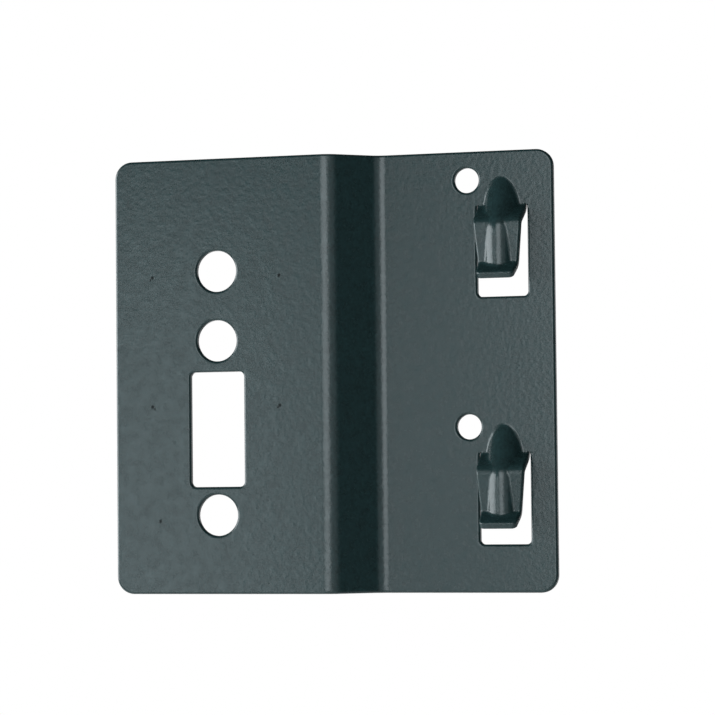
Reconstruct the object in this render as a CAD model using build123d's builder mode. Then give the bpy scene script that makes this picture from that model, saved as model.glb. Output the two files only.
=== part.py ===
# Power strip bracket: one blanked, lanced and folded steel sheet.
# X runs along the bracket from the free end to the hooked end, Y goes back from the viewer, Z is up.
# The origin lies on the front face of the hook panel, on the hook column, at half the plate height.
import os
from math import cos, radians, sin, tan

from build123d import *

# Sheet and folds
sheet = 1.2
plate_height = 79.4
corner_radius = 3.2
jog_depth = 6.35
jog_angle = 40.0
fold_inner_radius = 3.8

# Lengths along X, from the hook column
mount_panel_end = 71.7
mount_panel_fold = 30.7
hook_panel_end = 9.5

# Punched pattern of the mounting panel, which repeats at one rack unit
# The slot fills the room between the second and the third hole, apart from a gap at each end
rack_unit = 44.45
hole_spacing = 12.7
hole_diameter = 7.5
hole_column = 52.1
hole_edge_distance = 20.65
slot_width = 10.2
slot_top_gap = 1.95
slot_end_gap = 1.4
slot_corner_radius = 0.9

# Small holes beside the hooks, each a little above the root of its hook
pilot_diameter = 4.5
pilot_side = 6.5
pilot_rise = 5.2

# Hooks: the root is where the shoulder leaves the panel, drops are measured down from it
# Each stretch of the strip is narrower at its lower end by its taper
root_edge_distance = 10.4
root_width = 8.9
shoulder_taper = 0.1
tongue_taper = 1.5
lip_taper = 0.8
lip_corner_radius = 0.9
throat = 2.3
shoulder_drop = 2.6
tongue_drop = 7.85
tongue_lean = 5.0
lip_length = 3.9
lip_angle = 58.0
hook_fold_radius = 1.3
hook_edge_radius = 0.45
hook_front_angle = 60.0

# Window that each hook is lanced from
window_clearance = 0.2
window_length = 16.8
window_corner_radius = 0.8
relief_height = 0.9

# Stiffening bead over each hook, which leaves a flat margin of the strip on both sides
bead_side_margin = 1.35
bead_slope = 28.0
bead_rise = 5.6
bead_crest = 4.6
bead_blend = 0.8

# Places worked out from the sizes above
half_height = plate_height / 2
middle = sheet / 2
fold_radius = fold_inner_radius + middle
jog_run = jog_depth / tan(radians(jog_angle))
top_hole_height = half_height - hole_edge_distance
hole_heights = [
    top_hole_height,
    top_hole_height - hole_spacing,
    top_hole_height - rack_unit,
]
slot_top = hole_heights[1] - hole_diameter / 2 - slot_top_gap
slot_end = hole_heights[2] + hole_diameter / 2 + slot_end_gap
slot_length = slot_top - slot_end
slot_height = (slot_top + slot_end) / 2
upper_root_height = half_height - root_edge_distance
root_heights = [upper_root_height, upper_root_height - rack_unit]
pilot_heights = [z + pilot_rise for z in root_heights]

tongue_top_width = root_width - shoulder_taper
tongue_end_width = tongue_top_width - tongue_taper
lip_width = tongue_end_width - lip_taper
window_width = root_width + 2 * window_clearance
bead_radius = root_width / 2 - bead_side_margin

tongue_end_y = -throat - middle
tongue_top_y = tongue_end_y - tongue_drop * tan(radians(tongue_lean))
tongue_end_z = -shoulder_drop - tongue_drop
lip_y = tongue_end_y - lip_length * sin(radians(lip_angle))
lip_z = tongue_end_z - lip_length * cos(radians(lip_angle))
root_lap = relief_height

# Middle line of the hook in side view, as (y, z) from the root
hook_points = [
    (middle, root_lap),
    (middle, 0),
    (tongue_top_y, -shoulder_drop),
    (tongue_end_y, tongue_end_z),
    (lip_y, lip_z),
]

# Axis of the bead in side view: down the slope from behind the panel, then straight down the tongue
slope = radians(bead_slope)
bead_axis_y = bead_radius - bead_crest
apex_axis_y = bead_radius * cos(slope)
apex_axis_z = bead_rise - bead_radius * sin(slope)
knee_z = apex_axis_z - (apex_axis_y - bead_axis_y) / tan(slope)
bead_lead = bead_radius + sheet
bead_points = [
    (apex_axis_y + bead_lead * sin(slope), apex_axis_z + bead_lead * cos(slope)),
    (bead_axis_y, knee_z),
    (bead_axis_y, lip_z - sheet),
]
bead_knee_radius = bead_radius / 2
front_reach = bead_crest + lip_length + throat
front_facing = cos(radians(hook_front_angle))


# Folded sheet: the two panels and the sloping web between them
with BuildPart() as folded_sheet:
    with BuildSketch(Plane.XY.offset(-half_height)):
        with BuildLine() as fold_line:
            FilletPolyline(
                (-mount_panel_end, middle - jog_depth),
                (-mount_panel_fold, middle - jog_depth),
                (-mount_panel_fold + jog_run, middle),
                (hook_panel_end, middle),
                radius=fold_radius,
            )
        trace(fold_line.line, line_width=sheet)
    extrude(amount=plate_height)
    corners = folded_sheet.edges().filter_by(Axis.Y)
    fillet(corners, corner_radius)

    # Round mounting holes
    with BuildSketch(Plane.XZ):
        with Locations(*[(-hole_column, z) for z in hole_heights]):
            Circle(hole_diameter / 2)
    extrude(amount=2 * jog_depth, both=True, mode=Mode.SUBTRACT)

    # Rectangular mounting slot with rounded corners
    with BuildSketch(Plane.XZ):
        with Locations((-hole_column, slot_height)):
            RectangleRounded(slot_width, slot_length, slot_corner_radius)
    extrude(amount=2 * jog_depth, both=True, mode=Mode.SUBTRACT)

    # Small round hole beside each hook
    with BuildSketch(Plane.XZ):
        with Locations(*[(-pilot_side, z) for z in pilot_heights]):
            Circle(pilot_diameter / 2)
    extrude(amount=2 * sheet, both=True, mode=Mode.SUBTRACT)

    # Windows left by the lanced hooks, open past each root so that the fold is free at both ends
    with BuildSketch(Plane.XZ):
        with Locations(*[(0, z + relief_height) for z in root_heights]):
            RectangleRounded(
                window_width,
                window_length,
                window_corner_radius,
                align=(Align.CENTER, Align.MAX),
            )
    extrude(amount=2 * sheet, both=True, mode=Mode.SUBTRACT)


# Hook strip: shoulder, tongue and flared lip, cut to its tapered outline
with BuildPart() as hook_strip:
    with BuildSketch(Plane.YZ):
        with BuildLine() as hook_line:
            FilletPolyline(*hook_points, radius=hook_fold_radius)
        trace(hook_line.line, line_width=sheet)
    extrude(amount=root_width, both=True)
    with BuildSketch(Plane.XZ):
        with BuildLine():
            Polyline(
                (0, root_lap),
                (root_width / 2, root_lap),
                (root_width / 2, 0),
                (tongue_top_width / 2, -shoulder_drop),
                (tongue_end_width / 2, tongue_end_z),
                (lip_width / 2, lip_z - sheet),
                (0, lip_z - sheet),
            )
            mirror(about=Plane.YZ)
        make_face()
    extrude(amount=front_reach, both=True, mode=Mode.INTERSECT)
    lip_end = hook_strip.faces().sort_by(Axis.Y)[0]
    lip_corners = lip_end.edges().sort_by(SortBy.LENGTH)[:2]
    fillet(lip_corners, lip_corner_radius)

    # Rolled edge along the front of the strip, where its front faces meet its sides and its end
    facing = Vector(0, -1, 1).normalized()
    front_faces = hook_strip.faces().filter_by(lambda face: face.normal_at().dot(facing) > front_facing)
    other_faces = hook_strip.faces() - front_faces
    top_face = hook_strip.faces().sort_by(Axis.Z)[-1]
    rolled_edges = (front_faces.edges() & other_faces.edges()) - top_face.edges()
    fillet(rolled_edges, hook_edge_radius)


# Outer skin of the bead: a bent round bar, kept only in front of the sheet
with BuildPart() as bead_skin:
    with BuildLine() as bead_axis:
        FilletPolyline(*[(0, y, z) for y, z in bead_points], radius=bead_knee_radius)
    with BuildSketch(Plane(origin=bead_axis.line @ 0, z_dir=bead_axis.line % 0)):
        Circle(bead_radius)
    sweep(path=bead_axis.line)
    with BuildSketch(Plane.YZ):
        with BuildLine():
            FilletPolyline(
                (middle, bead_rise + bead_lead),
                *hook_points[1:],
                radius=hook_fold_radius,
            )
            Polyline(
                (lip_y, lip_z),
                (-front_reach, lip_z),
                (-front_reach, bead_rise + bead_lead),
                (middle, bead_rise + bead_lead),
            )
        make_face()
    extrude(amount=root_width, both=True, mode=Mode.INTERSECT)


# Hollow behind the bead, one sheet thickness inside its skin
with BuildPart() as bead_hollow:
    with BuildLine() as hollow_axis:
        FilletPolyline(*[(0, y, z) for y, z in bead_points], radius=bead_knee_radius)
    with BuildSketch(Plane(origin=hollow_axis.line @ 0, z_dir=hollow_axis.line % 0)):
        Circle(bead_radius - sheet)
    sweep(path=hollow_axis.line)


# The whole bracket: the sheet, then each hook with its bead blended into it and hollowed behind
with BuildPart() as bracket:
    add(folded_sheet.part)
    for root_height in root_heights:
        with Locations((0, 0, root_height)):
            add(hook_strip.part)
            add(bead_skin.part)
        bead_outline = bracket.edges(Select.NEW)
        fillet(bead_outline, bead_blend)
        with Locations((0, 0, root_height)):
            add(bead_hollow.part, mode=Mode.SUBTRACT)

bracket.part.label = "bracket"
os.makedirs("parts", exist_ok=True)
export_step(bracket.part, "parts/bracket.step")
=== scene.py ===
"""Power strip bracket: the finish, studio and camera of one folded, powder coated steel sheet.

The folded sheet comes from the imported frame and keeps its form. This script rolls the rims of its
punched edges, coats it, and hangs it in a plain pale studio, seen from the side that shows the
fold and both hooks. Lengths are in metres and angles in degrees, unless a comment says otherwise.
"""
from __future__ import annotations

import logging
import math
from dataclasses import dataclass
from enum import Enum

import bmesh
import bpy
from mathutils import Matrix, Vector

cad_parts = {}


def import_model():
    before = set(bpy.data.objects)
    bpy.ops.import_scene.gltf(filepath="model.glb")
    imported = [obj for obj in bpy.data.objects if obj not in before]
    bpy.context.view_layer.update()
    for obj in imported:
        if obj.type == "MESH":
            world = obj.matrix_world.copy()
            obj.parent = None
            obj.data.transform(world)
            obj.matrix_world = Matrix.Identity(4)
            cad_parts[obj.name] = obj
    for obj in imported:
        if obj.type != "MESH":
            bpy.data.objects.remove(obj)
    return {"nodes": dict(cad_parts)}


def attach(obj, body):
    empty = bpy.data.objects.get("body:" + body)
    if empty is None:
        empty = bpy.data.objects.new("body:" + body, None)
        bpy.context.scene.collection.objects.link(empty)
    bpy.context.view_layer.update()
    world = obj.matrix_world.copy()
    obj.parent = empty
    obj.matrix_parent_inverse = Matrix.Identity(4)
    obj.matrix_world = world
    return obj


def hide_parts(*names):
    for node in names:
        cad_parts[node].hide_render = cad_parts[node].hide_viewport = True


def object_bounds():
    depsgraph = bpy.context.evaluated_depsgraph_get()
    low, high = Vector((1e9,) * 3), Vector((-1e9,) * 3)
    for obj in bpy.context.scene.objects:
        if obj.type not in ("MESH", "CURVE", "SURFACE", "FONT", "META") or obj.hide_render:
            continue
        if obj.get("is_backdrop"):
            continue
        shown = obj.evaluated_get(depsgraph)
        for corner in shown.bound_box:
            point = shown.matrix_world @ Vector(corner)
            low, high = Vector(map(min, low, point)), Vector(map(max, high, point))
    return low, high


LOG = logging.getLogger("bracket")
MM = 0.001
MICRON = 0.000001
IMAGE_SIDE = 715
WHITE = (1.0, 1.0, 1.0, 1.0)
CIRCULAR_PROFILE = 0.5

# The sRGB curve: a straight foot up to the knee, and a power above it
SRGB_STEPS = 255
SRGB_KNEE = 0.04045
SRGB_FOOT = 12.92
SRGB_LIFT = 0.055
SRGB_POWER = 2.4

# A mix node has sockets for each kind of value under the same names, so the colours go by place
MIX_FIRST = 6
MIX_SECOND = 7
MIX_COLOUR = 2


def linear_colour(hex_text: str) -> tuple[float, float, float, float]:
    """Turn an sRGB hex colour into linear RGBA.

    Args:
        hex_text: Six hex digits with a leading hash mark.

    Returns:
        The colour as four linear floats, with an alpha of one.
    """
    channels = [int(hex_text[i:i + 2], 16) / SRGB_STEPS for i in (1, 3, 5)]
    linear = [
        c / SRGB_FOOT if c <= SRGB_KNEE else ((c + SRGB_LIFT) / (1 + SRGB_LIFT)) ** SRGB_POWER
        for c in channels
    ]
    return (*linear, 1.0)


def cells_per_metre(grain: float) -> float:
    """Give a noise node's scale for one grain of the given size in millimetres."""
    return 1 / (grain * MM)


def outward(bearing: float, elevation: float) -> Vector:
    """Find the direction from the bracket towards something that stands round it.

    Args:
        bearing: Its angle from the front, positive to the right.
        elevation: Its angle above the level.

    Returns:
        The direction as a unit vector.
    """
    turn, rise = math.radians(bearing), math.radians(elevation)
    level = math.cos(rise)
    return Vector((math.sin(turn) * level, -math.cos(turn) * level, math.sin(rise)))


def add_node(
    tree: bpy.types.NodeTree,
    kind: str,
    links: dict[str | int, object] | None = None,
    **settings: object,
) -> bpy.types.Node:
    """Add one shader node with its settings and its incoming links.

    Args:
        tree: The node tree that takes the node.
        kind: Blender's type name of the node.
        links: Input name or index mapped to the socket or the plain value that feeds it.
        **settings: Properties that are set on the node itself.

    Returns:
        The new node.
    """
    node = tree.nodes.new(kind)
    for name, value in settings.items():
        setattr(node, name, value)
    for name, value in (links or {}).items():
        if isinstance(value, bpy.types.NodeSocket):
            tree.links.new(value, node.inputs[name])
        else:
            node.inputs[name].default_value = value
    return node


def new_tree(name: str) -> tuple[bpy.types.Material, bpy.types.NodeTree]:
    """Make a material with an empty node tree.

    Args:
        name: The material's name.

    Returns:
        The material and its node tree.
    """
    material = bpy.data.materials.new(name)
    material.use_nodes = True
    material.node_tree.nodes.clear()
    return material, material.node_tree


@dataclass(frozen=True)
class FilmPattern:
    """One uneven pattern of the baked film: its grain in millimetres, and its finer detail."""

    grain: float
    detail: float
    detail_share: float


@dataclass(frozen=True)
class CoatPit:
    """A pinhole in the coat, with the short tail that the flowing powder left, in millimetres."""

    x: float
    z: float
    tail_x: float
    tail_z: float
    radius: float


# Where specks of dust left pinholes in the mounting panel's coat
PANEL_PITS = (
    CoatPit(x=-64.4, z=18.2, tail_x=-64.8, tail_z=17.8, radius=0.46),
    CoatPit(x=-40.0, z=18.0, tail_x=-40.1, tail_z=17.8, radius=0.48),
    CoatPit(x=-64.5, z=-5.5, tail_x=-64.1, tail_z=-5.9, radius=0.46),
    CoatPit(x=-40.05, z=-5.6, tail_x=-40.4, tail_z=-5.95, radius=0.46),
    CoatPit(x=-63.1, z=-26.4, tail_x=-63.2, tail_z=-26.6, radius=0.40),
)


@dataclass(frozen=True)
class SatinPowderCoat:
    """Polyester powder, sprayed dry onto steel and baked: an even dark film with a satin sheen.

    The melted grains level out but not quite, which leaves a very fine orange peel, and the
    pigment is a touch uneven from grain to grain. A speck of dust on the steel leaves a pinhole
    here and there.
    """

    # The pigment between its darkest and its palest grains, and the faint cool cast of the sheen
    deep: str = "#132425"
    pale: str = "#1f3436"
    sheen_tint: str = "#f1fbff"
    # Polyester resin, satin: the film is a little glossier where it flowed thicker
    ior: float = 1.5
    roughness: float = 0.26
    roughness_swing: float = 0.03
    # Grains of powder are about 0.05 mm, too fine to show, and are drawn as coarse as they need to
    pigment: FilmPattern = FilmPattern(grain=0.45, detail=1.0, detail_share=0.5)
    cloud: FilmPattern = FilmPattern(grain=1.7, detail=2.0, detail_share=0.6)
    peel: FilmPattern = FilmPattern(grain=0.85, detail=1.0, detail_share=0.5)
    peel_depth: float = 33 * MICRON
    cloud_share: float = 0.5
    # A noise keeps mostly between these two values, which become the ends of its range
    noise_low: float = 0.3
    noise_high: float = 0.7
    # Pinholes: dull and dark, flat at the core, each with a smaller tail; the panel's face in mm
    pits: tuple[CoatPit, ...] = PANEL_PITS
    pit_face_y: float = -6.35
    pit_core_share: float = 0.3
    pit_tail_share: float = 0.6
    pit_depth: float = 40 * MICRON
    pit_roughness: float = 1.0
    pit_colour: str = "#0b1213"

    def pit_field(
        self, tree: bpy.types.NodeTree, place: bpy.types.NodeSocket
    ) -> bpy.types.NodeSocket:
        """Add the nodes that are one inside a pit and zero elsewhere.

        Args:
            tree: The coat's node tree.
            place: The place on the object.

        Returns:
            The field's socket.
        """
        dots = [(pit.x, pit.z, pit.radius) for pit in self.pits]
        dots += [(pit.tail_x, pit.tail_z, pit.radius * self.pit_tail_share) for pit in self.pits]
        field = None
        for x, z, radius in dots:
            centre = (x * MM, self.pit_face_y * MM, z * MM)
            away = add_node(
                tree, "ShaderNodeVectorMath", {0: place, 1: centre}, operation="DISTANCE"
            )
            inside = add_node(tree, "ShaderNodeMapRange", {
                "Value": away.outputs["Value"],
                "From Min": radius * MM,
                "From Max": radius * MM * self.pit_core_share,
            }, interpolation_type="SMOOTHSTEP").outputs["Result"]
            field = inside if field is None else add_node(
                tree, "ShaderNodeMath", {0: field, 1: inside}, operation="MAXIMUM"
            ).outputs["Value"]
        return field

    def build(self) -> bpy.types.Material:
        """Build the coat's material.

        Returns:
            The finished material.
        """
        material, tree = new_tree("satin_powder_coat")
        place = add_node(tree, "ShaderNodeTexCoord").outputs["Object"]
        pits = self.pit_field(tree, place)
        speckle, clouds, peel = (
            add_node(tree, "ShaderNodeTexNoise", {
                "Vector": place,
                "Scale": cells_per_metre(pattern.grain),
                "Detail": pattern.detail,
                "Roughness": pattern.detail_share,
            }).outputs["Fac"]
            for pattern in (self.pigment, self.cloud, self.peel)
        )

        # The pigment: a fine speckle over soft clouds, both faint
        shade = add_node(tree, "ShaderNodeMix", {
            "Factor": self.cloud_share, "A": speckle, "B": clouds,
        }, data_type="FLOAT")
        tone = add_node(tree, "ShaderNodeMapRange", {
            "Value": shade.outputs["Result"],
            "From Min": self.noise_low,
            "From Max": self.noise_high,
        })
        pigment = add_node(tree, "ShaderNodeMix", {
            "Factor": tone.outputs["Result"],
            MIX_FIRST: linear_colour(self.deep),
            MIX_SECOND: linear_colour(self.pale),
        }, data_type="RGBA")
        colour = add_node(tree, "ShaderNodeMix", {
            "Factor": pits,
            MIX_FIRST: pigment.outputs[MIX_COLOUR],
            MIX_SECOND: linear_colour(self.pit_colour),
        }, data_type="RGBA")

        # The sheen: a little glossier where the film flowed thicker, and dull in a pit
        film = add_node(tree, "ShaderNodeMapRange", {
            "Value": clouds,
            "From Min": self.noise_low,
            "From Max": self.noise_high,
            "To Min": self.roughness + self.roughness_swing,
            "To Max": self.roughness - self.roughness_swing,
        })
        gloss = add_node(tree, "ShaderNodeMix", {
            "Factor": pits, "A": film.outputs["Result"], "B": self.pit_roughness,
        }, data_type="FLOAT")

        # The orange peel, with the pits sunk into it
        waves = add_node(tree, "ShaderNodeBump", {"Height": peel, "Distance": self.peel_depth})
        relief = add_node(tree, "ShaderNodeBump", {
            "Height": pits, "Distance": self.pit_depth, "Normal": waves.outputs["Normal"],
        }, invert=True)

        shader = add_node(tree, "ShaderNodeBsdfPrincipled", {
            "Base Color": colour.outputs[MIX_COLOUR],
            "Roughness": gloss.outputs["Result"],
            "IOR": self.ior,
            "Specular Tint": linear_colour(self.sheen_tint),
            "Normal": relief.outputs["Normal"],
        })
        add_node(tree, "ShaderNodeOutputMaterial", {"Surface": shader.outputs["BSDF"]})
        return material


class SheetSide(Enum):
    """The two faces of the sheet, by the direction along Y that they look in."""

    FRONT = -1
    BACK = 1


@dataclass(frozen=True)
class RolledRim:
    """The soft rim of every punched edge on one side of the sheet, under its coat.

    The hook panel's face on that side lies at panel_y.
    """

    side: SheetSide
    panel_y: float
    radius: float
    segments: int


@dataclass
class FoldedBracket:
    """The one folded sheet with its two lanced hooks, its rims rolled, and coated."""

    node: str = "bracket"
    body: str = "root"
    slot: str = "coated_steel"
    name: str = "coated_bracket"
    coat: SatinPowderCoat = SatinPowderCoat()
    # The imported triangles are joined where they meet, then merged back into whole flat faces
    weld: float = 0.1 * MICRON
    flat_angle: float = 0.2
    # The punch went in from the front: it drew in the rims on that side, and left the others crisp
    rims: tuple[RolledRim, ...] = (
        RolledRim(side=SheetSide.FRONT, panel_y=0.0, radius=0.50 * MM, segments=5),
        RolledRim(side=SheetSide.BACK, panel_y=1.2 * MM, radius=0.12 * MM, segments=2),
    )
    # A punched edge: how sharp it is at least, and how its two faces look along Y
    punched_angle: float = 60.0
    facing: float = 0.6
    across: float = 0.3
    # Past the fold, only the edges in the flat of the hook panel are punched ones
    fold_end: float = -20 * MM
    flatness: float = 0.001 * MM
    # The shoulder of each hook leaves the panel here, and its own sides stay as they are
    root_heights: tuple[float, ...] = (29.3 * MM, -15.15 * MM)
    root_half_width: float = 4.5 * MM
    root_band: float = 1.2 * MM
    # Shading: what counts as the same corner, as a crease, and as a face too small to have a say
    match: float = 1 * MICRON
    crease_angle: float = 35.0
    small_share: float = 0.12

    def beside_root(self, edge: bmesh.types.BMEdge) -> bool:
        """Tell whether an edge lies in the narrow gap between a hook's root and its window."""
        return any(
            abs(v.co.x) < self.root_half_width and abs(v.co.z - root) < self.root_band
            for v in edge.verts
            for root in self.root_heights
        )

    def punched_rims(
        self, mesh: bmesh.types.BMesh, rim: RolledRim
    ) -> list[bmesh.types.BMEdge]:
        """Find the sharp edges between one side of the panels and their cut faces.

        Args:
            mesh: The sheet.
            rim: The side of the sheet, and the place of its hook panel.

        Returns:
            The edges round the outline, the holes, the slot and the windows.
        """
        found = []
        for edge in mesh.edges:
            if not edge.is_manifold or edge.calc_face_angle() < math.radians(self.punched_angle):
                continue
            cut, face = sorted(f.normal.y * rim.side.value for f in edge.link_faces)
            if face < self.facing or abs(cut) > self.across or self.beside_root(edge):
                continue
            if all(
                v.co.x < self.fold_end or abs(v.co.y - rim.panel_y) < self.flatness
                for v in edge.verts
            ):
                found.append(edge)
        return found

    def roll_rims(self, mesh: bmesh.types.BMesh) -> None:
        """Round the punched edges: softly on the front, where the punch went in, less behind.

        Args:
            mesh: The sheet.
        """
        for rim in self.rims:
            bmesh.ops.bevel(
                mesh, geom=self.punched_rims(mesh, rim), affect="EDGES", offset_type="OFFSET",
                offset=rim.radius, segments=rim.segments, profile=CIRCULAR_PROFILE,
                clamp_overlap=False, miter_outer="SHARP",
            )

    def place_key(self, place: Vector) -> tuple[int, ...]:
        """Turn a place into whole steps of the grid that corners are matched on."""
        return tuple(round(c / self.match) for c in place)

    def surface_normals(self, data: bpy.types.Mesh) -> dict[tuple[int, ...], list[Vector]]:
        """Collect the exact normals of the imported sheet's surfaces.

        Args:
            data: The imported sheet's mesh.

        Returns:
            The normals that meet at each place.
        """
        found = {}
        for corner, normal in zip(data.loops, data.corner_normals):
            place = data.vertices[corner.vertex_index].co
            found.setdefault(self.place_key(place), []).append(normal.vector.copy())
        return found

    def smooth_fans(self, vertex: bmesh.types.BMVert) -> list[list[bmesh.types.BMLoop]]:
        """Part the face corners round a vertex into fans that have no crease inside.

        Args:
            vertex: The vertex, with each edge at it marked smooth or not.

        Returns:
            The corners of each fan.
        """
        left = {corner.face: corner for corner in vertex.link_loops}
        fans = []
        while left:
            fan, reach = [], [left.popitem()[1]]
            while reach:
                corner = reach.pop()
                fan.append(corner)
                for edge in corner.face.edges:
                    if edge.smooth and vertex in edge.verts:
                        reach += [left.pop(face) for face in edge.link_faces if face in left]
            fans.append(fan)
        return fans

    def fan_normal(
        self, fan: list[bmesh.types.BMLoop], areas: dict[bmesh.types.BMFace, float]
    ) -> Vector:
        """Work out the one normal of a fan, to which faces count by their angle at the vertex.

        Args:
            fan: The corners that meet smoothly. A face that is small beside the largest of theirs
                has no say, so that a flat face stays flat up to its bend.
            areas: The area of every face.

        Returns:
            The normal.
        """
        least = max(areas[corner.face] for corner in fan) * self.small_share
        total = Vector()
        for corner in fan:
            if areas[corner.face] >= least:
                total += corner.face.normal * corner.calc_angle()
        return total.normalized()

    def corner_normals(
        self, mesh: bmesh.types.BMesh, exact: dict[tuple[int, ...], list[Vector]]
    ) -> list[Vector]:
        """Work out the shading normal of every face corner.

        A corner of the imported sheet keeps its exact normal, and a new one takes that of its fan.

        Args:
            mesh: The dressed sheet.
            exact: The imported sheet's normals by place.

        Returns:
            One normal for each face corner, in the order of the faces.
        """
        crease = math.radians(self.crease_angle)
        for edge in mesh.edges:
            edge.smooth = edge.is_manifold and edge.calc_face_angle() < crease
        areas = {face: face.calc_area() for face in mesh.faces}
        normals = {}
        for vertex in mesh.verts:
            for fan in self.smooth_fans(vertex):
                shared = self.fan_normal(fan, areas)
                known = exact.get(self.place_key(vertex.co), [shared])
                for corner in fan:
                    nearest = max(known, key=corner.face.normal.dot)
                    fits = nearest.dot(corner.face.normal) > math.cos(crease)
                    normals[corner] = nearest if fits else shared
        return [normals[corner] for face in mesh.faces for corner in face.loops]

    def dressed_mesh(self, packed: bpy.types.Mesh) -> bpy.types.Mesh:
        """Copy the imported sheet, with its rims rolled and its shading worked out.

        Args:
            packed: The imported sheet's mesh, which stays as it is.

        Returns:
            The new mesh.
        """
        mesh = bmesh.new()
        mesh.from_mesh(packed)
        bmesh.ops.remove_doubles(mesh, verts=mesh.verts, dist=self.weld)
        bmesh.ops.dissolve_limit(
            mesh, angle_limit=math.radians(self.flat_angle), verts=mesh.verts, edges=mesh.edges
        )
        self.roll_rims(mesh)
        for face in mesh.faces:
            face.smooth = True
        mesh.normal_update()
        normals = self.corner_normals(mesh, self.surface_normals(packed))
        data = bpy.data.meshes.new(self.name)
        mesh.to_mesh(data)
        mesh.free()
        data.normals_split_custom_set(normals)
        return data

    def build(self, nodes: dict[str, bpy.types.Object]) -> bpy.types.Object:
        """Make the dressed sheet that stands for the plain one.

        Args:
            nodes: The frame's objects by name.

        Returns:
            The dressed object.
        """
        data = self.dressed_mesh(nodes[self.node].data)
        data.materials.append(self.coat.build())
        piece = bpy.data.objects.new(self.name, data)
        bpy.context.scene.collection.objects.link(piece)
        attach(piece, self.body)
        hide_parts(self.node)
        return piece


@dataclass(frozen=True)
class Softbox:
    """One soft lamp, placed by its bearing from the bracket, with its power in watts."""

    name: str
    bearing: float
    elevation: float
    width: float
    height: float
    power: float
    distance: float = 0.9

    def build(self, target: Vector) -> None:
        """Place the lamp.

        Args:
            target: The point that the lamp faces.
        """
        data = bpy.data.lights.new(self.name, "AREA")
        data.shape = "RECTANGLE"
        data.size = self.width
        data.size_y = self.height
        data.energy = self.power
        away = outward(self.bearing, self.elevation)
        lamp = bpy.data.objects.new(self.name, data)
        lamp.location = target + away * self.distance
        lamp.rotation_euler = (-away).to_track_quat("-Z", "Y").to_euler()
        lamp.visible_camera = False
        bpy.context.scene.collection.objects.link(lamp)


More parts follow.
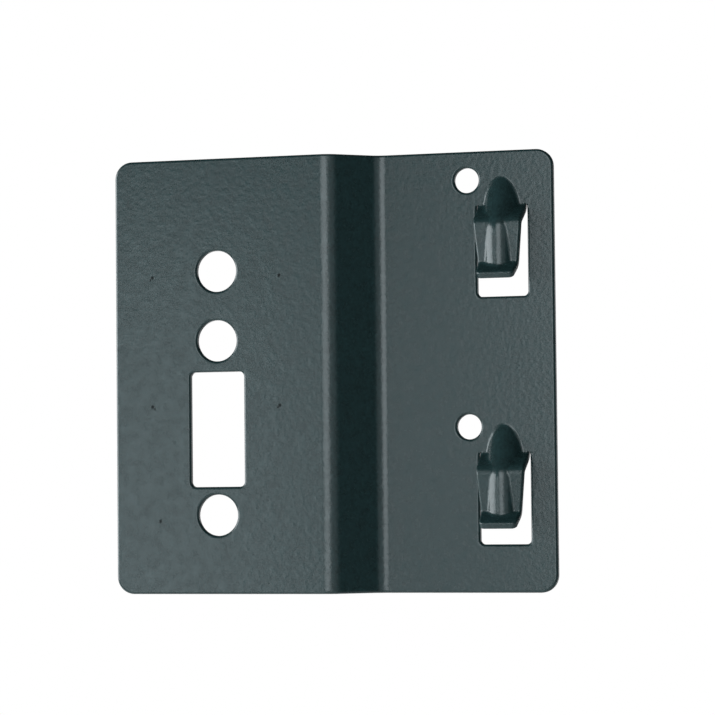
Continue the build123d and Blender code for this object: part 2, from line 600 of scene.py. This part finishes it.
@dataclass
class Studio:
    """Pale floor, white backdrop, soft lamps and the camera."""

    backdrop: float = 1.0
    fill: float = 0.03
    floor_drop: float = 440 * MM
    floor_side: float = 8.0
    floor_colour: str = "#fafaf9"
    # The share of its own white that the floor shows the camera, rising to all of it far out
    floor_own_light: float = 0.90
    floor_near: float = 0.5
    floor_far: float = 3.0
    softboxes: tuple[Softbox, ...] = (
        Softbox("left_softbox", bearing=-71.3, elevation=5.2, width=1.15, height=0.52, power=13.3),
        Softbox(
            "strip_softbox", bearing=-22.2, elevation=-10.5, width=0.12, height=0.6, power=0.98
        ),
        Softbox("front_softbox", bearing=3.9, elevation=10.2, width=0.4, height=0.66, power=3.53),
        Softbox("right_softbox", bearing=31.1, elevation=2.1, width=0.5, height=0.93, power=0.81),
        Softbox("back_left_softbox", bearing=-145, elevation=-8, width=0.9, height=0.7, power=2.6),
        Softbox("back_right_softbox", bearing=145, elevation=-8, width=0.9, height=0.7, power=1.8),
    )
    # The camera looks back along its bearing; the focal length is in pixels, the sensor in mm
    camera_place: tuple[float, float, float] = (0.12152, -0.50965, -0.02120)
    camera_bearing: float = 16.269
    camera_elevation: float = -2.609
    camera_roll: float = -0.584
    focal_pixels: float = 2923.2
    sensor: float = 36.0

    def floor(self, lowest: float) -> None:
        """Lay the floor under the hanging bracket.

        Args:
            lowest: The height of the bracket's lowest edge.
        """
        half = self.floor_side / 2
        height = lowest - self.floor_drop
        mesh = bpy.data.meshes.new("floor")
        square = ((-half, -half), (half, -half), (half, half), (-half, half))
        mesh.from_pydata([(x, y, height) for x, y in square], [], [range(len(square))])
        floor = bpy.data.objects.new("floor", mesh)
        bpy.context.scene.collection.objects.link(floor)

        # Painted board, rolled on matt: an even pale face that only a soft shadow darkens
        material, tree = new_tree("pale_floor")
        matt = add_node(tree, "ShaderNodeBsdfDiffuse", {"Color": linear_colour(self.floor_colour)})
        white = add_node(tree, "ShaderNodeEmission", {"Strength": self.backdrop})
        place = add_node(tree, "ShaderNodeTexCoord").outputs["Object"]
        away = add_node(
            tree, "ShaderNodeVectorMath", {0: place, 1: (0, 0, height)}, operation="DISTANCE"
        )
        fade = add_node(tree, "ShaderNodeMapRange", {
            "Value": away.outputs["Value"],
            "From Min": self.floor_near,
            "From Max": self.floor_far,
            "To Min": self.floor_own_light,
        }, interpolation_type="SMOOTHSTEP")
        path = add_node(tree, "ShaderNodeLightPath")
        share = add_node(tree, "ShaderNodeMath", {
            0: path.outputs["Is Camera Ray"], 1: fade.outputs["Result"],
        }, operation="MULTIPLY")
        surface = add_node(tree, "ShaderNodeMixShader", {
            0: share.outputs["Value"], 1: matt.outputs["BSDF"], 2: white.outputs["Emission"],
        })
        add_node(tree, "ShaderNodeOutputMaterial", {"Surface": surface.outputs["Shader"]})
        mesh.materials.append(material)
        floor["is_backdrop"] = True

    def world(self) -> None:
        """Fill the studio with a dim even light, and show it white behind the bracket."""
        world = bpy.data.worlds.new("studio")
        bpy.context.scene.world = world
        world.use_nodes = True
        tree = world.node_tree
        tree.nodes.clear()
        path = add_node(tree, "ShaderNodeLightPath")
        strength = add_node(tree, "ShaderNodeMapRange", {
            "Value": path.outputs["Is Camera Ray"], "To Min": self.fill, "To Max": self.backdrop,
        })
        light = add_node(tree, "ShaderNodeBackground", {
            "Color": WHITE, "Strength": strength.outputs["Result"],
        })
        add_node(tree, "ShaderNodeOutputWorld", {"Surface": light.outputs["Background"]})

    def camera(self) -> None:
        """Place the camera at the viewing angle of a catalogue picture."""
        forward = -outward(self.camera_bearing, self.camera_elevation)
        turn, roll = math.radians(self.camera_bearing), math.radians(self.camera_roll)
        level = Vector((math.cos(turn), math.sin(turn), 0))
        upright = level.cross(forward)
        right = level * math.cos(roll) + upright * math.sin(roll)
        up = upright * math.cos(roll) - level * math.sin(roll)
        axes = Matrix((right, up, -forward)).transposed().to_4x4()
        data = bpy.data.cameras.new("camera")
        data.sensor_width = self.sensor
        data.lens = self.focal_pixels / IMAGE_SIDE * self.sensor
        camera = bpy.data.objects.new("camera", data)
        camera.matrix_world = Matrix.Translation(self.camera_place) @ axes
        bpy.context.scene.collection.objects.link(camera)
        bpy.context.scene.camera = camera

    def build(self, low: Vector, high: Vector) -> None:
        """Build the studio round the bracket.

        Args:
            low: The bracket's lowest corner.
            high: Its highest corner.
        """
        bpy.context.scene.view_settings.view_transform = "Standard"
        self.floor(low.z)
        self.world()
        for softbox in self.softboxes:
            softbox.build((low + high) / 2)
        self.camera()


def main() -> None:
    """Build the bracket's looks and its studio."""
    logging.basicConfig(level=logging.INFO)
    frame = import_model()
    cad_low, cad_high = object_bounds()
    piece = FoldedBracket().build(frame["nodes"])
    LOG.info("dressed %s with %d faces", piece.name, len(piece.data.polygons))
    Studio().build(cad_low, cad_high)


if __name__ == "__main__":
    main()
